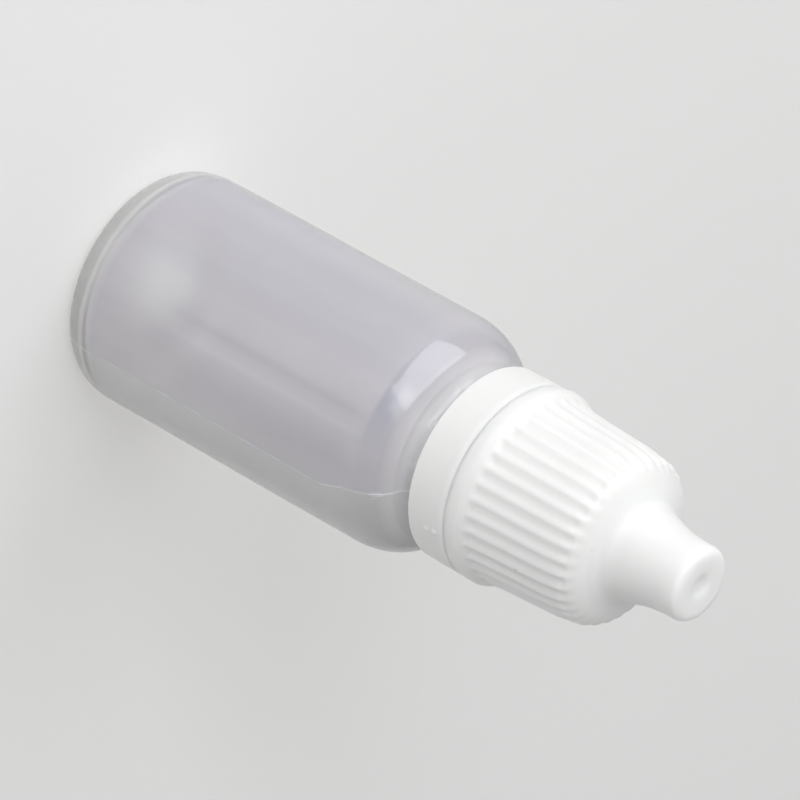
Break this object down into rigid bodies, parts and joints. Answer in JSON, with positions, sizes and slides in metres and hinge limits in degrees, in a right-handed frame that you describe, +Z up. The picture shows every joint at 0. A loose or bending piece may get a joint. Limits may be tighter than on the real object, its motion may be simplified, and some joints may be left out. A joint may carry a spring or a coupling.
{
  "type": "dropper bottle",
  "caption": "Small squeezable dropper bottle: round translucent body with a threaded neck, pressed-in nozzle, ribbed screw cap with nipple and sealing pin, and a tamper ring.",
  "frame": {"origin": "centre of the base, on the plane the bottle stands on", "axes": "+Z up along the bottle's axis, from the base to the cap's nipple; X and Y lie across the bottle, with a mould parting line at azimuth -43 degrees from +X"},
  "size_m": [0.022, 0.022, 0.0644],
  "materials": {
    "bottle_ldpe": "satin, milky translucent",
    "tip_ldpe": "satin, milky translucent",
    "ring_white": "satin",
    "cap_white": "satin"
  },
  "bodies": {
    "bottle_body": {"bottle": "bottle_ldpe", "dropper_tip": "tip_ldpe"},
    "ring_body": {"tamper_ring": "ring_white"},
    "cap_body": {"screw_cap": "cap_white"}
  },
  "joints": [
    {"name": "cap_turn", "type": "hinge", "parent": "bottle_body", "child": "ring_body", "pos_m": [0, 0, 0.041], "axis": [0, 0, 1], "range_deg": [0, 660]},
    {"name": "cap_lift", "type": "slide", "parent": "ring_body", "child": "cap_body", "axis": [0, 0, 1], "range_m": [0, 0.0039]}
  ],
  "couplings": [
    {"joint": "cap_lift", "follows": "cap_turn", "m_per_rad": 0.00033693}
  ]
}
